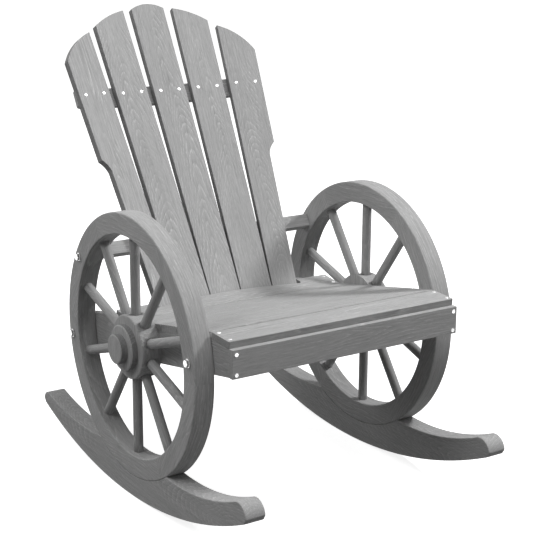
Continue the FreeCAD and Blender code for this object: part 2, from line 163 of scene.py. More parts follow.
class WoodValues(bpy.types.PropertyGroup):
    stain: FloatVectorProperty(
        name="Stain", description="Colour of the stained wood", subtype="COLOR",
        size=3, min=0, max=1, default=(0.45, 0.45, 0.45))
    ring_spacing: FloatProperty(
        name="Ring spacing", description="Distance between growth rings",
        unit="LENGTH", default=6.0 * MM, min=1 * MM)
    ring_contrast: FloatProperty(
        name="Ring contrast", description="How much paler the ring lines are",
        subtype="FACTOR", default=0.30, min=0, max=1)
    fibre_contrast: FloatProperty(
        name="Fibre contrast", description="How strong the fine streaks are",
        subtype="FACTOR", default=0.74, min=0, max=1)
    fibre_width: FloatProperty(
        name="Fibre width", description="Width of one streak",
        unit="LENGTH", default=3.0 * MM, min=0.1 * MM)
    edge_wear: FloatProperty(
        name="Edge wear", description="How much paler the worn edges are",
        subtype="FACTOR", default=0.14, min=0, max=1)
    wear_width: FloatProperty(
        name="Wear width", description="How far from an edge the wear reaches",
        unit="LENGTH", default=2.5 * MM, min=0)
    relief: FloatProperty(
        name="Relief", description="Depth of the grain in the surface",
        unit="LENGTH", default=0.12 * MM, min=0)


class WheelValues(bpy.types.PropertyGroup):
    radius: FloatProperty(
        name="Radius", description="Outer radius of the rim",
        unit="LENGTH", default=RIM.z / 2)
    rim_height: FloatProperty(
        name="Rim height", description="Depth of the rim towards the hub",
        unit="LENGTH", default=44 * MM)
    rim_thickness: FloatProperty(
        name="Rim thickness", description="Thickness of the rim across the chair",
        unit="LENGTH", default=RIM.x)
    rim_rounding: FloatProperty(
        name="Rim rounding", description="Radius of the rim's rounded edges",
        unit="LENGTH", default=3 * MM)
    spoke_count: IntProperty(
        name="Spokes", description="Spokes in one wheel", default=SPOKES_PER_WHEEL, min=3)
    spoke_diameter: FloatProperty(
        name="Spoke diameter", description="Diameter of a spoke",
        unit="LENGTH", default=SPOKE.x)
    spoke_length: FloatProperty(
        name="Spoke length", description="Length of a spoke with both its hidden ends",
        unit="LENGTH", default=SPOKE.z)
    rim_parts: IntProperty(
        name="Rim parts", description="Straight-grained parts that the rim is glued up from",
        default=6, min=1)
    # Painted shade: how much the inside of the rims is darkened
    inner_stain: FloatProperty(
        name="Painted inner shade", description="How much darker the inside of the rims is",
        subtype="FACTOR", default=0.3, min=0, max=1)
    # Painted shade: how much the turned sides of the discs and caps are darkened
    disc_stain: FloatProperty(
        name="Painted disc shade", description="How much darker the turned sides of the discs and caps are",
        subtype="FACTOR", default=0.45, min=0, max=1)


class BoardValues(bpy.types.PropertyGroup):
    thickness: FloatProperty(
        name="Thickness", description="Thickness of the slats",
        unit="LENGTH", default=15 * MM)
    back_rounding: FloatProperty(
        name="Back slat rounding", description="Width of the eased edge of a back slat",
        unit="LENGTH", default=1.2 * MM)
    seat_rounding: FloatProperty(
        name="Seat slat rounding", description="Radius of the long edges of a seat slat",
        unit="LENGTH", default=1.5 * MM)
    back_arches: FloatVectorProperty(
        name="Back arches", description="How fast the rings of each back slat run out along it",
        size=BACK_BOARDS, default=(0.03, 0.24, 0.2, 0.26, 0.3))
    # Painted shade: how much the sawn sides of a slat are darkened
    side_stain: FloatProperty(
        name="Painted side shade", description="How much darker the sawn sides of a slat are",
        subtype="FACTOR", default=0.42, min=0, max=1)
    rail_rounding: FloatProperty(
        name="Rail rounding", description="Width of the eased edge of a rail",
        unit="LENGTH", default=1.5 * MM)


class FixingValues(bpy.types.PropertyGroup):
    metal: FloatVectorProperty(
        name="Metal", description="Colour of the screws and bolts", subtype="COLOR",
        size=3, min=0, max=1, default=(0.97, 0.97, 0.97))
    screw_recess: FloatProperty(
        name="Screw recess", description="Width across the cross recess",
        unit="LENGTH", default=3.2 * MM)
    bolt_rounding: FloatProperty(
        name="Bolt rounding", description="Width of the eased edges of the bolts and washers",
        unit="LENGTH", default=0.3 * MM)
    # Painted shade: how much the sides of the bolts and washers are darkened
    side_dirt: FloatProperty(
        name="Painted bolt shade", description="How much darker the sides of the bolts and washers are",
        subtype="FACTOR", default=0.7, min=0, max=1)
    dullness: FloatProperty(
        name="Dullness", description="How much darker the dullest screw is",
        subtype="FACTOR", default=0.35, min=0, max=1)
    turn_seed: IntProperty(
        name="Turn seed", description="Seed for how far each screw is turned", default=4)


class StageValues(bpy.types.PropertyGroup):
    key_power: FloatProperty(
        name="Key lamp", description="Power of the small lamp at the front right",
        unit="POWER", default=116.0, min=0)
    front_power: FloatProperty(
        name="Front lamp", description="Power of the broad lamp high in front",
        unit="POWER", default=57.0, min=0)
    side_power: FloatProperty(
        name="Side lamp", description="Power of the lamp on the left",
        unit="POWER", default=38.0, min=0)
    rear_power: FloatProperty(
        name="Rear lamp", description="Power of the broad lamp behind the chair",
        unit="POWER", default=46.0, min=0)
    lamp_distance: FloatProperty(
        name="Lamp distance", description="How far the lamps stand from the chair",
        unit="LENGTH", default=4.5, min=0.5)
    sky_strength: FloatProperty(
        name="Sky", description="Strength of the even light from all round",
        default=0.14, min=0)
    floor_tone: FloatProperty(
        name="Floor", description="Tone of the floor for the light that it sends back",
        subtype="FACTOR", default=0.12, min=0, max=1)
    lens: FloatProperty(
        name="Lens", description="Focal length in millimetres for a 36 mm sensor",
        default=93.54, min=1)
    camera_place: FloatVectorProperty(
        name="Camera", description="Where the camera stands", subtype="TRANSLATION",
        size=3, default=(-1.494356, -2.362753, 1.188420))
    camera_heading: FloatProperty(
        name="Heading", description="Turn of the camera from straight ahead to the right",
        subtype="ANGLE", default=math.radians(32.929))
    camera_fall: FloatProperty(
        name="Fall", description="How far the camera looks down",
        subtype="ANGLE", default=math.radians(15.075))
    camera_roll: FloatProperty(
        name="Roll", description="Turn of the camera about its own line of sight",
        subtype="ANGLE", default=math.radians(0.28))


class ChairValues(bpy.types.PropertyGroup):
    wood: PointerProperty(type=WoodValues)
    wheel: PointerProperty(type=WheelValues)
    board: PointerProperty(type=BoardValues)
    fixing: PointerProperty(type=FixingValues)
    stage: PointerProperty(type=StageValues)


def values():
    return bpy.context.scene.rocking_chair


# Node trees

class Nodes:
    """A node tree, with short words for the nodes that come often."""

    def __init__(self, tree):
        self.tree = tree

    def add(self, kind, inputs=(), **settings):
        """A node with its settings, its sockets fed by values or by other sockets."""
        node = self.tree.nodes.new(kind)
        for name, value in settings.items():
            setattr(node, name, value)
        for key, value in dict(inputs).items():
            if isinstance(value, bpy.types.NodeSocket):
                self.tree.links.new(value, node.inputs[key])
            else:
                node.inputs[key].default_value = value
        return node

    def first(self, kind, inputs=(), **settings):
        """The first output of a new node."""
        return self.add(kind, inputs, **settings).outputs[0]

    def math(self, operation, a, b=0.0):
        return self.first("ShaderNodeMath", {0: a, 1: b}, operation=operation)

    def times(self, a, b):
        return self.math("MULTIPLY", a, b)

    def total(self, amount, *others):
        for other in others:
            amount = self.math("ADD", amount, other)
        return amount

    def separate(self, vector):
        return self.add("ShaderNodeSeparateXYZ", {0: vector}).outputs

    def combine(self, **parts):
        """A vector from its X, Y and Z, each 0 where it is left out."""
        return self.first("ShaderNodeCombineXYZ", parts)


class Shader(Nodes):
    """The tree of a new material."""

    def __init__(self, name):
        self.material = bpy.data.materials.new(name)
        self.material.use_nodes = True
        super().__init__(self.material.node_tree)
        self.tree.nodes.clear()

    def attribute(self, name, output="Fac"):
        return self.add("ShaderNodeAttribute", attribute_name=name).outputs[output]

    def vector(self, operation, a, b):
        return self.first("ShaderNodeVectorMath", {0: a, 1: b}, operation=operation)

    def swing(self, value, width):
        """A value from 0 to 1, as a swing of that width about 0."""
        return self.times(self.math("SUBTRACT", value, 0.5), width)

    def span(self, value, low, high, to_low=0.0, to_high=1.0):
        """A smooth rise or fall from to_low to to_high, as the value goes from low to high."""
        return self.first("ShaderNodeMapRange", {
            "Value": value, "From Min": low, "From Max": high, "To Min": to_low, "To Max": to_high},
            interpolation_type="SMOOTHSTEP")

    def noise(self, place, scale, detail=2.0, roughness=0.5, output="Fac"):
        return self.add("ShaderNodeTexNoise", {
            "Vector": place, "Scale": scale, "Detail": detail, "Roughness": roughness}).outputs[output]

    def streaks(self, place, along, across, detail=2.0, roughness=0.5, output="Fac"):
        """Noise drawn out along the grain: along and across are how many there are to the metre."""
        stretched = self.vector("MULTIPLY", place, (along, across, across))
        return self.noise(stretched, 1.0, detail, roughness, output)

    def darken_sides(self, tone):
        """A tone, darker by what the mesh stores for its sides: painted shade, and on screws a random
        dullness.
        """
        return self.times(tone, self.math("SUBTRACT", 1.0, self.attribute("sides")))

    def tint(self, colour, tone):
        """A colour made darker or paler by a tone."""
        return self.first("ShaderNodeVectorMath", {0: tuple(colour), "Scale": tone}, operation="SCALE")

    def close(self, surface):
        self.add("ShaderNodeOutputMaterial", {"Surface": surface})
        return self.material


# Materials

def stained_wood():
    """Grey-stained wood: growth rings cut lengthwise, streaks, pores and pale worn edges."""
    wood = values().wood
    tree = Shader("stained_wood")
    grain = tree.attribute("grain", "Vector")
    board = tree.attribute("board")
    chance = tree.add("ShaderNodeTexWhiteNoise", {"W": board}, noise_dimensions="1D").outputs["Color"]
    lot = tree.separate(chance)
    place = tree.vector("ADD", grain, tree.vector("MULTIPLY", chance, (9.0, 7.0, 5.0)))
    part = tree.separate(grain)

    # The log's heart runs just under the face and wanders from side to side
    wander = tree.separate(tree.streaks(place, 4.0, 9.0, output="Color"))
    across = tree.total(part[1], tree.swing(lot[0], 0.024), tree.swing(wander[0], 0.045))
    depth = tree.total(part[2], tree.swing(lot[1], 0.006))
    radius = tree.math("SQRT", tree.total(tree.times(across, across), tree.times(depth, depth)))

    # The rings run out along the board by its own arch, which gives pointed arches
    radius = tree.total(radius, tree.times(part[0], tree.attribute("arch")), tree.swing(wander[1], 0.05))
    ripple = tree.streaks(place, 40.0, 300.0, 3.0, 0.6)
    ring = tree.total(tree.math("DIVIDE", radius, wood.ring_spacing), tree.times(ripple, 0.6))
    phase = tree.math("FRACT", ring)
    figure = tree.span(tree.streaks(place, 5.0, 30.0), 0.38, 0.62, 0.25, 1.1)
    line = tree.times(tree.times(tree.span(phase, 0.62, 0.86), tree.span(phase, 1.0, 0.92)), figure)
    late = tree.times(tree.span(phase, 0.45, 0.0), figure)

    # Fine streaks along the grain, slow changes of tone, broken ring lines and pores
    streak = tree.streaks(place, 11.0, 1.0 / wood.fibre_width, 4.0, 0.75)
    hair = tree.streaks(place, 60.0, 1.9 / wood.fibre_width, 3.0, 0.7)
    patch = tree.streaks(place, 3.0, 14.0)
    breaks = tree.span(tree.streaks(place, 60.0, 420.0, 2.0, 0.7), 0.42, 0.58)
    pores = tree.span(tree.streaks(place, 25.0, 700.0, 1.0), 0.60, 0.70)
    tone = tree.total(
        1.0, tree.swing(streak, wood.fibre_contrast), tree.swing(hair, 0.7 * wood.fibre_contrast),
        tree.swing(patch, 0.20), tree.times(tree.times(line, breaks), wood.ring_contrast),
        tree.times(late, -0.35 * wood.ring_contrast), tree.times(pores, -0.16), tree.swing(lot[2], 0.06))

    # Worn edges: where the rounded normal leaves the true one
    rounded = tree.first("ShaderNodeBevel", {"Radius": wood.wear_width}, samples=4)
    true = tree.add("ShaderNodeNewGeometry").outputs["Normal"]
    facing = tree.add("ShaderNodeVectorMath", {0: rounded, 1: true}, operation="DOT_PRODUCT").outputs["Value"]
    worn = tree.times(tree.span(facing, 0.995, 0.9), tree.span(streak, 0.35, 0.6))
    # Painted shade: the stored sides number darkens sawn sides, rim insides and disc sides
    tone = tree.total(tree.darken_sides(tone), tree.times(worn, wood.edge_wear))

    height = tree.total(
        tree.times(streak, 0.6), tree.times(hair, 0.4), tree.times(pores, -0.8), tree.times(line, 0.35))
    bump = tree.first("ShaderNodeBump", {"Height": height, "Distance": wood.relief, "Strength": 0.6})
    return tree.close(tree.first("ShaderNodeBsdfPrincipled", {
        "Base Color": tree.tint(wood.stain, tone), "Roughness": tree.span(streak, 0.3, 0.75, 0.78, 0.6),
        "Normal": bump, "Specular IOR Level": 0.22}))


def bright_steel():
    """Zinc-plated steel with fine turning marks and a few dull spots, darkened where the mesh stores sides:
    painted shade on bolt and washer sides, a random dullness on screws.
    """
    tree = Shader("bright_steel")
    place = tree.add("ShaderNodeTexCoord").outputs["Object"]
    cloud = tree.noise(place, 260.0, 3.0, 0.6)
    marks = tree.noise(place, 2600.0)
    tone = tree.total(tree.span(cloud, 0.3, 0.7, 0.94, 1.04), tree.swing(marks, 0.08))
    bump = tree.first("ShaderNodeBump", {"Height": marks, "Distance": 0.02 * MM, "Strength": 0.4})
    # The stored sides number darkens the tone: painted shade on bolt and washer sides, a random dullness on
    # each screw
    return tree.close(tree.first("ShaderNodeBsdfPrincipled", {
        "Base Color": tree.tint(values().fixing.metal, tree.darken_sides(tone)), "Metallic": 0.9,
        "Roughness": tree.span(cloud, 0.3, 0.7, 0.42, 0.3), "Normal": bump}))


def pale_floor():
    """A floor that looks white, and sends back only a little light."""
    tree = Shader("pale_floor")
    path = tree.add("ShaderNodeLightPath").outputs
    place = tree.add("ShaderNodeTexCoord").outputs["Object"]
    cloud = tree.noise(place, 0.7, 3.0)
    far = tree.add("ShaderNodeVectorMath", {0: place}, operation="LENGTH").outputs["Value"]
    seen = tree.math("MAXIMUM", path["Is Camera Ray"], path["Is Glossy Ray"])
    tone = tree.total(tree.span(cloud, 0.3, 0.7, -0.01, 0.01), values().stage.floor_tone)
    matt = tree.first("ShaderNodeBsdfDiffuse", {"Color": (0.8, 0.8, 0.8, 1)})
    dull = tree.first("ShaderNodeBsdfDiffuse", {"Color": tone})
    glow = tree.first("ShaderNodeEmission", {"Strength": tree.span(far, 0.6, 1.6, 0.84, 1.0)})
    white = tree.first("ShaderNodeAddShader", {0: matt, 1: glow})
    return tree.close(tree.first("ShaderNodeMixShader", {0: seen, 1: dull, 2: white}))


def material(maker):
    """The material of that maker, made once."""
    return bpy.data.materials.get(maker.__name__) or maker()


# Pieces

def new_object(name, data):
    piece = bpy.data.objects.new(name, data)
    bpy.context.scene.collection.objects.link(piece)
    return piece


def plain_mesh(piece):
    """Turns what the modifiers show into the piece's own mesh."""
    shown = piece.evaluated_get(bpy.context.evaluated_depsgraph_get())
    mesh = bpy.data.meshes.new_from_object(shown)
    piece.modifiers.clear()
    piece.data = mesh
    return piece


def shade_smooth(mesh, angle=SMOOTH):
    """Smooth shading, but not across edges that bend more than the angle."""
    mesh.polygons.foreach_set("use_smooth", [True] * len(mesh.polygons))
    mesh.set_sharp_from_angle(angle=angle)


def give_mesh(name, work):
    """A piece from a bmesh, smooth across its rounded edges and flat on its faces."""
    mesh = bpy.data.meshes.new(name)
    work.to_mesh(mesh)
    work.free()
    shade_smooth(mesh)
    return new_object(name, mesh)


def flatten_shading(piece):
    """Weighs the normals by face, so that rounded edges don't shade the flats."""
    weigh = piece.modifiers.new("weigh", "WEIGHTED_NORMAL")
    weigh.keep_sharp = True
    weigh.weight = 90
    return plain_mesh(piece)


def join_flat_faces(work, degrees):
    bmesh.ops.dissolve_limit(
        work, angle_limit=math.radians(degrees), verts=work.verts, edges=work.edges)


def merged_copy(node):
    """A clean bmesh of a frame node: doubles merged, flat faces whole."""
    work = bmesh.new()
    work.from_mesh(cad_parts[node].data)
    bmesh.ops.remove_doubles(work, verts=work.verts, dist=0.001 * MM)
    bmesh.ops.recalc_face_normals(work, faces=work.faces)
    join_flat_faces(work, 0.3)
    return work


def store(mesh, name, domain, numbers, kind="FLOAT"):
    """Stores a number, or a vector's numbers one after another, for each point, corner or face."""
    layer = mesh.attributes.new(name, kind, domain)
    layer.data.foreach_set("value" if kind == "FLOAT" else "vector", numbers)


def lay_grain(piece, axes, origin, board, arch=0.0, sides=0.0):
    """Stores each corner's place along, across and into the wood, and the board's number.

    arch tells how fast the rings run out along the board, and sides how much painted shade darkens its sawn
    sides.
    """
    along, across, into = (Vector(axis).normalized() for axis in axes)
    mesh = piece.data
    grain = []
    for loop in mesh.loops:
        place = mesh.vertices[loop.vertex_index].co - origin
        grain.extend((place.dot(along), place.dot(across), place.dot(into)))
    store(mesh, "grain", "CORNER", grain, "FLOAT_VECTOR")
    for name, value in (("board", board), ("arch", arch)):
        store(mesh, name, "POINT", [float(value)] * len(mesh.vertices))
    dark = [sides if abs(face.normal.dot(into)) < SAWN_SIDE else 0.0 for face in mesh.polygons]
    store(mesh, "sides", "FACE", dark)


def lay_grain_round(piece, centre, parts, board, inside):
    """As lay_grain, for a wheel glued up from equal parts. The grain follows the tread.

    inside tells how much painted shade darkens the inner side of the ring, less so where it faces up.
    """
    mesh = piece.data
    share = math.tau / parts
    radius = max((vertex.co - centre).yz.length for vertex in mesh.vertices)
    grain = []
    numbers = []
    dark = []
    for face in mesh.polygons:
        middle = face.center - centre
        # Painted shade on the inner tread, fading as the face turns up
        inner = face.normal.yz.dot(middle.yz) < -INNER_TREAD * middle.yz.length
        share_left = max(0.0, 1.0 - PAINTED_SHADE_FADE * max(face.normal.z, 0.0))
        dark.append(inside * share_left if inner else 0.0)
        part = round(math.atan2(-middle.y, -middle.z) / share)
        along = Vector((0, math.cos(part * share), -math.sin(part * share)))
        out = Vector((0, -math.sin(part * share), -math.cos(part * share)))
        for index in face.loop_indices:
            place = mesh.vertices[mesh.loops[index].vertex_index].co - centre
            if abs(face.normal.x) < TREAD:
                turn = math.atan2(place.dot(along), place.dot(out))
                grain.extend((turn * radius, place.x, place.yz.length - radius))
            else:
                grain.extend((place.dot(along), place.dot(out) - radius, place.x))
            numbers.append(float(board + part % parts))
    store(mesh, "grain", "CORNER", grain, "FLOAT_VECTOR")
    store(mesh, "board", "CORNER", numbers)
    store(mesh, "sides", "FACE", dark)


def fit_piece(piece, maker, slot, *nodes):
    """Gives the piece its finish and its place in the frame."""
    piece.data.materials.clear()
    piece.data.materials.append(material(maker))
    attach(piece, "root")
    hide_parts(*nodes)


def longest_way(points):
    """The way that some points spread furthest, upwards."""
    cloud = np.array([tuple(point) for point in points])
    way = Vector(np.linalg.svd(cloud - cloud.mean(0), full_matrices=False)[2][0])
    return way if way.z > 0 else -way


def fixing_places(node, count):
    """For each screw of a node: the point where its head meets the wood, and the way out."""
    work = merged_copy(node)
    places = []
    for face in work.faces:
        middle = face.calc_center_bounds()
        reach = [(vertex.co - middle).length for vertex in face.verts]
        uneven = max(abs(length - SCREW_TOP_RADIUS) for length in reach)
        if len(reach) >= SCREW_TOP_CORNERS and uneven < SCREW_TOLERANCE:
            places.append((middle - face.normal * SCREW_HEAD_HEIGHT, face.normal.copy()))
    work.free()
    if len(places) != count:
        raise RuntimeError("%s: %d heads found, not %d" % (node, len(places), count))
    return sorted(places, key=lambda place: tuple(round(number, 4) for number in place[0]))


# Geometry node trees

class Geometry(Nodes):
    """A new geometry node tree, with its inputs' names and kinds."""

    def __init__(self, name, inputs):
        super().__init__(bpy.data.node_groups.new(name, "GeometryNodeTree"))
        sockets = self.tree.interface
        sockets.new_socket(name="Geometry", in_out="INPUT", socket_type="NodeSocketGeometry")
        for label, kind in inputs.items():
            sockets.new_socket(name=label, in_out="INPUT", socket_type="NodeSocket" + kind)
        sockets.new_socket(name="Geometry", in_out="OUTPUT", socket_type="NodeSocketGeometry")
        self.given = self.tree.nodes.new("NodeGroupInput").outputs

    def store(self, geometry, name, value, kind="FLOAT", domain="INSTANCE"):
        return self.first("GeometryNodeStoreNamedAttribute", {
            "Geometry": geometry, "Name": name, "Value": value}, data_type=kind, domain=domain)

    def store_grain(self, geometry, grain):
        return self.store(geometry, "grain", grain, "FLOAT_VECTOR", "POINT")

    def number_boards(self, instances):
        """Gives each instance its own board number for the grain."""
        board = self.math("ADD", self.first("GeometryNodeInputIndex"), self.given["First Board"])
        return self.store(instances, "board", board)

    def rounded_section(self, width, height, steps):
        bar = self.first("GeometryNodeCurvePrimitiveQuadrilateral", {"Width": width, "Height": height})
        return self.first("GeometryNodeFilletCurve", {
            "Curve": bar, "Count": steps, "Radius": self.given["Rounding"]}, mode="POLY")

    def place(self, points, instance, rotation):
        return self.first("GeometryNodeInstanceOnPoints", {
            "Points": points, "Instance": instance, "Rotation": rotation})

    def move(self, geometry, offset, **turn):
        return self.first("GeometryNodeTransform", {"Geometry": geometry, "Translation": offset, **turn})

    def join(self, *parts):
        whole = self.add("GeometryNodeJoinGeometry")
        for part in parts:
            self.tree.links.new(part, whole.inputs[0])
        return whole.outputs[0]

    def close(self, geometry):
        """Realizes the instances and sets the material, as the last two nodes."""
        real = self.first("GeometryNodeRealizeInstances", {"Geometry": geometry})
        painted = self.first("GeometryNodeSetMaterial", {
            "Geometry": real, "Material": self.given["Material"]})
        self.add("NodeGroupOutput", {"Geometry": painted})
        return self.tree


def grow(name, tree, inputs, mesh=None):
    """A piece made by a tree: the inputs are set, and the result becomes a plain mesh."""
    piece = new_object(name, mesh or bpy.data.meshes.new(name))
    modifier = piece.modifiers.new("grow", "NODES")
    modifier.node_group = tree
    for item in tree.interface.items_tree:
        if item.item_type == "SOCKET" and item.in_out == "INPUT" and item.name in inputs:
            modifier[item.identifier] = inputs[item.name]
    return plain_mesh(piece)


def rim_tree():
    """A bar with rounded edges, bent into a ring about X."""
    tree = Geometry("bent_rim", {
        "Radius": "Float", "Height": "Float", "Thickness": "Float", "Rounding": "Float",
        "Segments": "Int", "Centre": "Vector", "Material": "Material"})
    given = tree.given
    path = tree.math("SUBTRACT", given["Radius"], tree.times(given["Height"], 0.5))
    ring = tree.first("GeometryNodeCurvePrimitiveCircle", {"Resolution": given["Segments"], "Radius": path})
    section = tree.rounded_section(given["Height"], given["Thickness"], RIM_CORNER_STEPS)
    swept = tree.first("GeometryNodeCurveToMesh", {"Curve": ring, "Profile Curve": section})
    return tree.close(tree.move(swept, given["Centre"], Rotation=(0, math.pi / 2, 0)))


def spoke_tree():
    """Round spokes set at equal turns about X, each with its own number for the grain."""
    tree = Geometry("spoke_ring", {
        "Count": "Int", "Diameter": "Float", "Length": "Float", "Reach": "Float",
        "First Board": "Float", "Centre": "Vector", "Material": "Material"})
    given = tree.given
    dowel = tree.add("GeometryNodeMeshCylinder", {
        "Vertices": SPOKE_SIDES, "Side Segments": SPOKE_STEPS, "Radius": tree.times(given["Diameter"], 0.5),
        "Depth": given["Length"]}).outputs
    smooth = tree.first("GeometryNodeSetShadeSmooth", {"Geometry": dowel["Mesh"], "Selection": dowel["Side"]})
    place = tree.separate(tree.first("GeometryNodeInputPosition"))
    grained = tree.store_grain(smooth, tree.combine(X=place[2], Y=place[0], Z=place[1]))
    raised = tree.move(grained, tree.combine(Z=given["Reach"]))
    points = tree.first("GeometryNodePoints", {"Count": given["Count"]})
    step = tree.math("DIVIDE", -math.tau, given["Count"])
    turn = tree.combine(X=tree.times(tree.first("GeometryNodeInputIndex"), step))
    ring = tree.number_boards(tree.place(points, raised, turn))
    return tree.close(tree.move(ring, given["Centre"]))


def board_row_tree():
    """Equal boards with rounded long edges, laid side by side down a slope."""
    tree = Geometry("board_row", {
        "Count": "Int", "Length": "Float", "Width": "Float", "Thickness": "Float",
        "Rounding": "Float", "First": "Vector", "Step": "Vector", "Tilt": "Float",
        "First Board": "Float", "Material": "Material"})
    given = tree.given
    half = tree.times(given["Length"], 0.5)
    path = tree.first("GeometryNodeCurvePrimitiveLine", {
        "Start": tree.combine(X=tree.times(half, -1.0)), "End": tree.combine(X=half)})
    section = tree.rounded_section(given["Width"], given["Thickness"], SLAT_CORNER_STEPS)
    plank = tree.first("GeometryNodeCurveToMesh", {
        "Curve": path, "Profile Curve": section, "Fill Caps": True})
    grained = tree.store_grain(plank, tree.first("GeometryNodeInputPosition"))
    row = tree.first("GeometryNodeMeshLine", {
        "Count": given["Count"], "Start Location": given["First"], "Offset": given["Step"]})
    return tree.close(tree.number_boards(tree.place(row, grained, tree.combine(X=given["Tilt"]))))


def fixing_tree():
    """One head and shank at every point, along that point's own way, turned and dulled by chance."""
    tree = Geometry("fixings", {
        "Head": "Object", "Shank Diameter": "Float", "Shank Length": "Float",
        "Seed": "Int", "Dullness": "Float", "Material": "Material"})
    given = tree.given
    head = tree.add("GeometryNodeObjectInfo", {"Object": given["Head"]}).outputs["Geometry"]
    shank = tree.first("GeometryNodeMeshCylinder", {
        "Vertices": SHANK_SIDES, "Radius": tree.times(given["Shank Diameter"], 0.5),
        "Depth": given["Shank Length"]})
    low = tree.move(shank, tree.combine(Z=tree.times(given["Shank Length"], -0.5)))
    whole = tree.join(head, low)
    way = tree.first("GeometryNodeInputNamedAttribute", {"Name": "way"}, data_type="FLOAT_VECTOR")
    aimed = tree.first("FunctionNodeAlignRotationToVector", {"Vector": way}, axis="Z")
    chance = tree.add("FunctionNodeRandomValue", {"Seed": given["Seed"]}, data_type="FLOAT").outputs[1]
    spin = tree.first("FunctionNodeAxisAngleToRotation", {
        "Axis": (0, 0, 1), "Angle": tree.times(chance, math.tau)})
    turned = tree.first("FunctionNodeRotateRotation", {0: aimed, 1: spin}, rotation_space="LOCAL")
    dull = tree.add("FunctionNodeRandomValue", {
        3: given["Dullness"], "Seed": given["Seed"]}, data_type="FLOAT").outputs[1]
    return tree.close(tree.store(tree.place(given["Geometry"], whole, turned), "sides", dull))


# Heads of screws

def lathe(profile):
    """A closed solid turned from points (radius, height) that run from the top to the foot."""
    work = bmesh.new()
    top = work.verts.new((0, 0, profile[0][1]))
    foot = work.verts.new((0, 0, profile[-1][1]))
    angles = [math.tau * step / HEAD_SIDES for step in range(HEAD_SIDES)]
    rings = []
    for radius, height in profile:
        rings.append([work.verts.new((radius * math.cos(a), radius * math.sin(a), height)) for a in angles])
    for step in range(HEAD_SIDES):
        following = (step + 1) % HEAD_SIDES
        work.faces.new((top, rings[0][step], rings[0][following]))
        work.faces.new((foot, rings[-1][following], rings[-1][step]))
        for upper, lower in zip(rings, rings[1:]):
            work.faces.new((upper[step], lower[step], lower[following], upper[following]))
    bmesh.ops.recalc_face_normals(work, faces=work.faces)
    return work


def closed_block(upper, lower):
    """A bmesh between two outlines with equally many points."""
    work = bmesh.new()
    upper = [work.verts.new(point) for point in upper]
    lower = [work.verts.new(point) for point in lower]
    work.faces.new(upper)
    work.faces.new(lower[::-1])
    for a, b, c, d in zip(upper, upper[1:] + upper[:1], lower[1:] + lower[:1], lower):
        work.faces.new((b, a, d, c))
    bmesh.ops.recalc_face_normals(work, faces=work.faces)
    return work


def recess_cutter():
    """A tapered pocket with the outline of a cross."""
    reach = values().fixing.screw_recess / 2
    outline = []
    for turn in range(4):
        cosine, sine = math.cos(turn * math.pi / 2), math.sin(turn * math.pi / 2)
        for x, y in ((reach, -RECESS_ARM), (reach, RECESS_ARM), (RECESS_ARM, RECESS_ARM)):
            outline.append((x * cosine - y * sine, x * sine + y * cosine))
    return closed_block(
        [(x, y, RECESS_TOP) for x, y in outline],
        [(x * RECESS_TAPER, y * RECESS_TAPER, RECESS_FOOT) for x, y in outline])


def screw_head():
    """A low round head with a cross recess."""
    head = give_mesh("screw_head", lathe([(radius * MM, height * MM) for radius, height in SCREW_PROFILE]))
    cutter = give_mesh("screw_head_cutter", recess_cutter())
    cut = head.modifiers.new("cut", "BOOLEAN")
    cut.operation = "DIFFERENCE"
    cut.object = cutter
    cut.solver = "EXACT"
    plain_mesh(head)
    bpy.data.objects.remove(cutter)
    shade_smooth(head.data, SMOOTH_HEAD)
    return head


def set_fixings(node, head, places, shank_length):
    """Sets a screw's head and shank at each place."""
    fixing = values().fixing
    name = node + "_set"
    mesh = bpy.data.meshes.new(name)
    mesh.from_pydata([tuple(point) for point, _ in places], [], [])
    store(mesh, "way", "POINT", [number for _, way in places for number in way], "FLOAT_VECTOR")
    piece = grow(name, fixing_tree(), {
        "Head": head, "Shank Diameter": SCREW_DIAMETER, "Shank Length": shank_length,
        "Seed": fixing.turn_seed, "Dullness": fixing.dullness, "Material": material(bright_steel)}, mesh)
    fit_piece(piece, bright_steel, "screw_steel", node)


# Boards whose outline comes from the frame

def front_face(work):
    """The faces of the largest flat side that looks to the front, and its normal."""
    sides = {}
    for face in work.faces:
        key = tuple(round(number, 2) for number in face.normal)
        sides.setdefault(key, []).append(face)
    forward = [faces for key, faces in sides.items() if key[1] < 0]
    largest = max(forward, key=lambda faces: sum(face.calc_area() for face in faces))
    return largest, max(largest, key=lambda face: face.calc_area()).normal.copy()


def outer_loop(faces):
    """The longest boundary of some flat faces, in order."""
    chosen = set(faces)
    follow = {}
    for face in faces:
        for loop in face.loops:
            if not any(other in chosen and other is not face for other in loop.edge.link_faces):
                follow[loop.vert] = loop.link_loop_next.vert
    loops = []
    while follow:
        first, vertex = follow.popitem()
        chain = [first]
        while vertex is not first:
            chain.append(vertex)
            vertex = follow.pop(vertex)
        loops.append([vertex.co.copy() for vertex in chain])
    return max(loops, key=lambda chain: sum((a - b).length for a, b in zip(chain, chain[1:])))


def ease(work, edges, width, steps):
    """Rounds off some edges."""
    bmesh.ops.bevel(work, geom=edges, offset=width, offset_type="OFFSET", segments=steps,
                    profile=0.5, affect="EDGES", clamp_overlap=True)


def eased_board(name, node, thickness, rounding):
    """A board with the node's outline, without its screw holes and with eased front edges."""
    work = merged_copy(node)
    faces, out = front_face(work)
    outline = outer_loop(faces)
    work.free()
    work = closed_block(outline, [point - out * thickness for point in outline])
    join_flat_faces(work, 0.2)
    level = max(vertex.co.dot(out) for vertex in work.verts) - 0.5 * thickness
    sharp = [edge for edge in work.edges if edge.calc_face_angle(0) > SHARP_BACK
             and all(vertex.co.dot(out) > level for vertex in edge.verts)]
    ease(work, sharp, rounding, BACK_EDGE_STEPS)
    return flatten_shading(give_mesh(name, work)), out


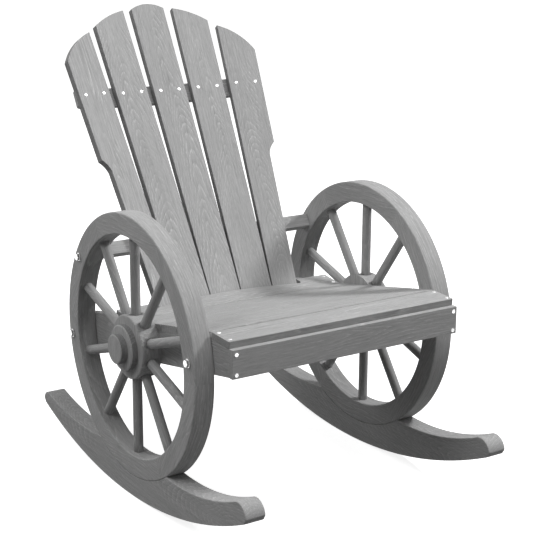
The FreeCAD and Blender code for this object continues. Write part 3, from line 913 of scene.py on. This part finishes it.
def eased_copy(name, node, rounding=0.0, shortest=SHORTEST_WOOD_EDGE):
    """A copy of a node, with its long sharp edges eased."""
    work = merged_copy(node)
    if rounding:
        sharp = [edge for edge in work.edges if len(edge.link_faces) == 2
                 and edge.calc_face_angle(0) > SHARP and edge.calc_length() > shortest]
        ease(work, sharp, rounding, EDGE_STEPS)
    return flatten_shading(give_mesh(name, work))


# Operators

class CHAIR_OT_rims(bpy.types.Operator):
    """Bends the two wheel rims"""
    bl_idname = "chair.rims"
    bl_label = "Wheel rims"

    def execute(self, context):
        wheel = values().wheel
        tree = rim_tree()
        for number, side in enumerate(SIDES):
            node = "wheel_rim_" + side
            board = RIM_BOARD + BOARDS_PER_WHEEL * number
            piece = grow("rim_" + side, tree, {
                "Radius": wheel.radius, "Height": wheel.rim_height, "Thickness": wheel.rim_thickness,
                "Rounding": wheel.rim_rounding, "Segments": RIM_SEGMENTS, "Centre": centre_of(node),
                "Material": material(stained_wood)})
            shade_smooth(piece.data)
            flatten_shading(piece)
            lay_grain_round(piece, centre_of(node), wheel.rim_parts, board, wheel.inner_stain)
            fit_piece(piece, stained_wood, "wheel_wood", node)
        return {"FINISHED"}


class CHAIR_OT_spokes(bpy.types.Operator):
    """Sets the round spokes of both wheels"""
    bl_idname = "chair.spokes"
    bl_label = "Spokes"

    def execute(self, context):
        wheel = values().wheel
        tree = spoke_tree()
        for number, side in enumerate(SIDES):
            nodes = ["spoke_%s_%02d" % (side, k + 1) for k in range(SPOKES_PER_WHEEL)]
            board = float(SPOKE_BOARD + BOARDS_PER_WHEEL * number)
            piece = grow("spokes_" + side, tree, {
                "Count": wheel.spoke_count, "Diameter": wheel.spoke_diameter, "Length": wheel.spoke_length,
                "Reach": centre_of(nodes[0]).z - RIM_CENTRE.z, "First Board": board,
                "Centre": centre_of("wheel_rim_" + side), "Material": material(stained_wood)})
            fit_piece(piece, stained_wood, "wheel_wood", *nodes)
        return {"FINISHED"}


class CHAIR_OT_hubs(bpy.types.Operator):
    """Turns the hubs with their discs and caps"""
    bl_idname = "chair.hubs"
    bl_label = "Hubs"

    def execute(self, context):
        # The discs and caps get painted shade on their turned sides, the drum none
        stain = values().wheel.disc_stain
        parts = (("hub_drum_", 0.0), ("hub_disc_", stain), ("hub_cap_", stain))
        for number, side in enumerate(SIDES):
            for step, (part, dark) in enumerate(parts):
                node = part + side
                piece = eased_copy(part + "turned_" + side, node)
                board = HUB_BOARD + BOARDS_PER_HUB * number + step
                lay_grain(piece, ALONG_Z, centre_of(node), board, sides=dark)
                fit_piece(piece, stained_wood, "wheel_wood", node)
        return {"FINISHED"}


class CHAIR_OT_rockers(bpy.types.Operator):
    """Shapes the two rockers"""
    bl_idname = "chair.rockers"
    bl_label = "Rockers"

    def execute(self, context):
        for number, side in enumerate(SIDES):
            node = "rocker_" + side
            piece = eased_copy(node + "_plank", node)
            lay_grain(piece, ALONG_Y, centre_of(node), ROCKER_BOARD + number, ROCKER_ARCH)
            fit_piece(piece, stained_wood, "rocker_wood", node)
        return {"FINISHED"}


class CHAIR_OT_seat_frame(bpy.types.Operator):
    """Makes the side rails and the apron"""
    bl_idname = "chair.seat_frame"
    bl_label = "Side rails and apron"

    def execute(self, context):
        rounding = values().board.rail_rounding
        for number, side in enumerate(SIDES):
            node = "side_rail_" + side
            piece = eased_copy(node + "_board", node, rounding)
            lay_grain(piece, ALONG_Y, centre_of(node), SIDE_RAIL_BOARD + number)
            fit_piece(piece, stained_wood, "rail_wood", node)
        piece = eased_copy("apron_board", "front_apron")
        lay_grain(piece, ALONG_X_UPRIGHT, centre_of("front_apron"), APRON_BOARD, APRON_ARCH)
        fit_piece(piece, stained_wood, "seat_wood", "front_apron")
        return {"FINISHED"}


class CHAIR_OT_seat(bpy.types.Operator):
    """Lays the seat slats"""
    bl_idname = "chair.seat"
    bl_label = "Seat slats"

    def execute(self, context):
        board = values().board
        nodes = ["seat_slat_middle_%d" % (k + 1) for k in range(MIDDLE_BOARDS)]
        first, last = centre_of(nodes[0]), centre_of(nodes[-1])
        step = (last - first) / (MIDDLE_BOARDS - 1)
        tilt = math.atan2(step.z, step.y)

        # The width of a tilted board with rounded edges, from the depth of its box
        soft = board.seat_rounding
        deep = size_of(nodes[0]).y / 2 - soft - (board.thickness / 2 - soft) * math.sin(-tilt)
        width = 2 * (deep / math.cos(tilt) + soft)
        piece = grow("seat_boards_middle", board_row_tree(), {
            "Count": MIDDLE_BOARDS, "Length": size_of(nodes[0]).x, "Width": width,
            "Thickness": board.thickness, "Rounding": soft, "First": first, "Step": step,
            "Tilt": tilt, "First Board": float(SEAT_BOARD), "Material": material(stained_wood)})
        shade_smooth(piece.data, SMOOTH_SLAT)
        flatten_shading(piece)
        fit_piece(piece, stained_wood, "seat_wood", *nodes)
        for number, part in enumerate(("front", "rear")):
            node = "seat_slat_" + part
            piece = eased_copy("seat_board_" + part, node)
            # The front and rear boards get half the painted shade on their sawn sides
            lay_grain(piece, ALONG_X, centre_of(node), SEAT_END_BOARD + number, sides=board.side_stain / 2)
            fit_piece(piece, stained_wood, "seat_wood", node)
        return {"FINISHED"}


class CHAIR_OT_back(bpy.types.Operator):
    """Shapes the five back slats"""
    bl_idname = "chair.back"
    bl_label = "Back slats"

    def execute(self, context):
        board = values().board
        for number in range(BACK_BOARDS):
            node = "back_slat_%d" % (number + 1)
            name = "back_board_%d" % (number + 1)
            piece, out = eased_board(name, node, board.thickness, board.back_rounding)
            up = longest_way(vertex.co for vertex in piece.data.vertices)
            # Painted shade darkens each back slat's sawn sides
            lay_grain(piece, (up, up.cross(out), out), centre_of(node), BACK_BOARD + number,
                      board.back_arches[number], board.side_stain)
            fit_piece(piece, stained_wood, "back_wood", node)
        return {"FINISHED"}


class CHAIR_OT_back_rails(bpy.types.Operator):
    """Makes the three rails behind the back"""
    bl_idname = "chair.back_rails"
    bl_label = "Back rails"

    def execute(self, context):
        for number, part in enumerate(("upper", "middle", "lower")):
            node = part + "_back_rail"
            piece = eased_copy(part + "_rail_board", node, values().board.rail_rounding)
            lay_grain(piece, ALONG_X, centre_of(node), BACK_RAIL_BOARD + number)
            fit_piece(piece, stained_wood, "rail_wood", node)
        return {"FINISHED"}


class CHAIR_OT_screws(bpy.types.Operator):
    """Drives the screws of the back, the seat and the apron"""
    bl_idname = "chair.screws"
    bl_label = "Screws"

    def execute(self, context):
        head = screw_head()
        for node, length, count in SCREW_SETS:
            set_fixings(node, head, fixing_places(node, count), length)
        bpy.data.objects.remove(head)
        return {"FINISHED"}


class CHAIR_OT_bolts(bpy.types.Operator):
    """Sets the bolts and washers that hold the rails to the wheels"""
    bl_idname = "chair.bolts"
    bl_label = "Bolts"

    def execute(self, context):
        fixing = values().fixing
        for node in [kind + side for side in SIDES for kind in ("wheel_bolts_", "wheel_washers_")]:
            piece = eased_copy(node + "_set", node, fixing.bolt_rounding, SHORTEST_STEEL_EDGE)
            faces = piece.data.polygons
            # Painted shade on the sides of the bolts and washers; their tops stay bright
            dark = [0.0 if abs(face.normal.x) > BOLT_TOP else fixing.side_dirt for face in faces]
            store(piece.data, "sides", "FACE", dark)
            fit_piece(piece, bright_steel, "bolt_steel", node)
        return {"FINISHED"}


class CHAIR_OT_stage(bpy.types.Operator):
    """Sets up the floor, the lamps, the sky and the camera"""
    bl_idname = "chair.stage"
    bl_label = "Stage"

    def execute(self, context):
        stage = values().stage
        work = bmesh.new()
        bmesh.ops.create_grid(work, x_segments=1, y_segments=1, size=FLOOR_REACH)
        floor = give_mesh("floor", work)
        floor.data.materials.append(material(pale_floor))
        for name, turn, height, size in LAMPS:
            self.lamp(name, math.radians(turn), math.radians(height), size, stage)
        self.sky(context.scene, stage)
        self.camera(context.scene, stage)
        context.scene.view_settings.view_transform = "Standard"
        return {"FINISHED"}

    @staticmethod
    def lamp(name, turn, height, size, stage):
        """A round lamp aimed at the chair."""
        level = math.cos(height)
        way = Vector((math.sin(turn) * level, -math.cos(turn) * level, math.sin(height)))
        lamp = bpy.data.lights.new(name + "_lamp", "AREA")
        lamp.shape = "DISK"
        lamp.size = size
        lamp.energy = getattr(stage, name + "_power")
        holder = new_object(name + "_lamp", lamp)
        holder.location = LAMP_AIM + way * stage.lamp_distance
        holder.rotation_euler = way.to_track_quat("Z", "Y").to_euler()

    @staticmethod
    def sky(scene, stage):
        """White where the camera or a gloss sees it, and a plain even light for all else."""
        world = bpy.data.worlds.new("studio")
        world.use_nodes = True
        world.node_tree.nodes.clear()
        tree = Nodes(world.node_tree)
        path = tree.add("ShaderNodeLightPath").outputs
        seen = tree.math("MAXIMUM", path["Is Camera Ray"], path["Is Glossy Ray"])
        strength = tree.first("ShaderNodeMapRange", {
            "Value": seen, "To Min": stage.sky_strength, "To Max": 1.0})
        light = tree.first("ShaderNodeBackground", {"Color": (1, 1, 1, 1), "Strength": strength})
        tree.add("ShaderNodeOutputWorld", {"Surface": light})
        scene.world = world

    @staticmethod
    def camera(scene, stage):
        camera = bpy.data.cameras.new("camera")
        camera.lens = stage.lens
        camera.sensor_width = 36.0
        turn = (Euler((0, 0, -stage.camera_heading)).to_matrix()
                @ Euler((math.pi / 2 - stage.camera_fall, 0, 0)).to_matrix()
                @ Euler((0, 0, stage.camera_roll)).to_matrix())
        scene.camera = new_object("camera", camera)
        scene.camera.matrix_world = Matrix.Translation(stage.camera_place) @ turn.to_4x4()


STEPS = (
    CHAIR_OT_rims, CHAIR_OT_spokes, CHAIR_OT_hubs, CHAIR_OT_rockers, CHAIR_OT_seat_frame, CHAIR_OT_seat,
    CHAIR_OT_back, CHAIR_OT_back_rails, CHAIR_OT_screws, CHAIR_OT_bolts, CHAIR_OT_stage,
)
GROUPS = (WoodValues, WheelValues, BoardValues, FixingValues, StageValues, ChairValues)


class CHAIR_PT_panel(bpy.types.Panel):
    """The chair's values and the steps that make it"""
    bl_idname = "CHAIR_PT_panel"
    bl_label = "Rocking chair"
    bl_space_type = "VIEW_3D"
    bl_region_type = "UI"
    bl_category = "Rocking chair"

    def draw(self, context):
        for group in (values().wood, values().wheel, values().board, values().fixing, values().stage):
            box = self.layout.box()
            for name in group.__annotations__:
                box.prop(group, name)
        for step in STEPS:
            self.layout.operator(step.bl_idname)


def register():
    for kind in GROUPS + STEPS + (CHAIR_PT_panel,):
        bpy.utils.register_class(kind)
    bpy.types.Scene.rocking_chair = PointerProperty(type=ChairValues)


def unregister():
    del bpy.types.Scene.rocking_chair
    for kind in reversed(GROUPS + STEPS + (CHAIR_PT_panel,)):
        bpy.utils.unregister_class(kind)


def main():
    register()
    for step in STEPS:
        group, name = step.bl_idname.split(".")
        getattr(getattr(bpy.ops, group), name)()


if __name__ == "__main__":
    main()
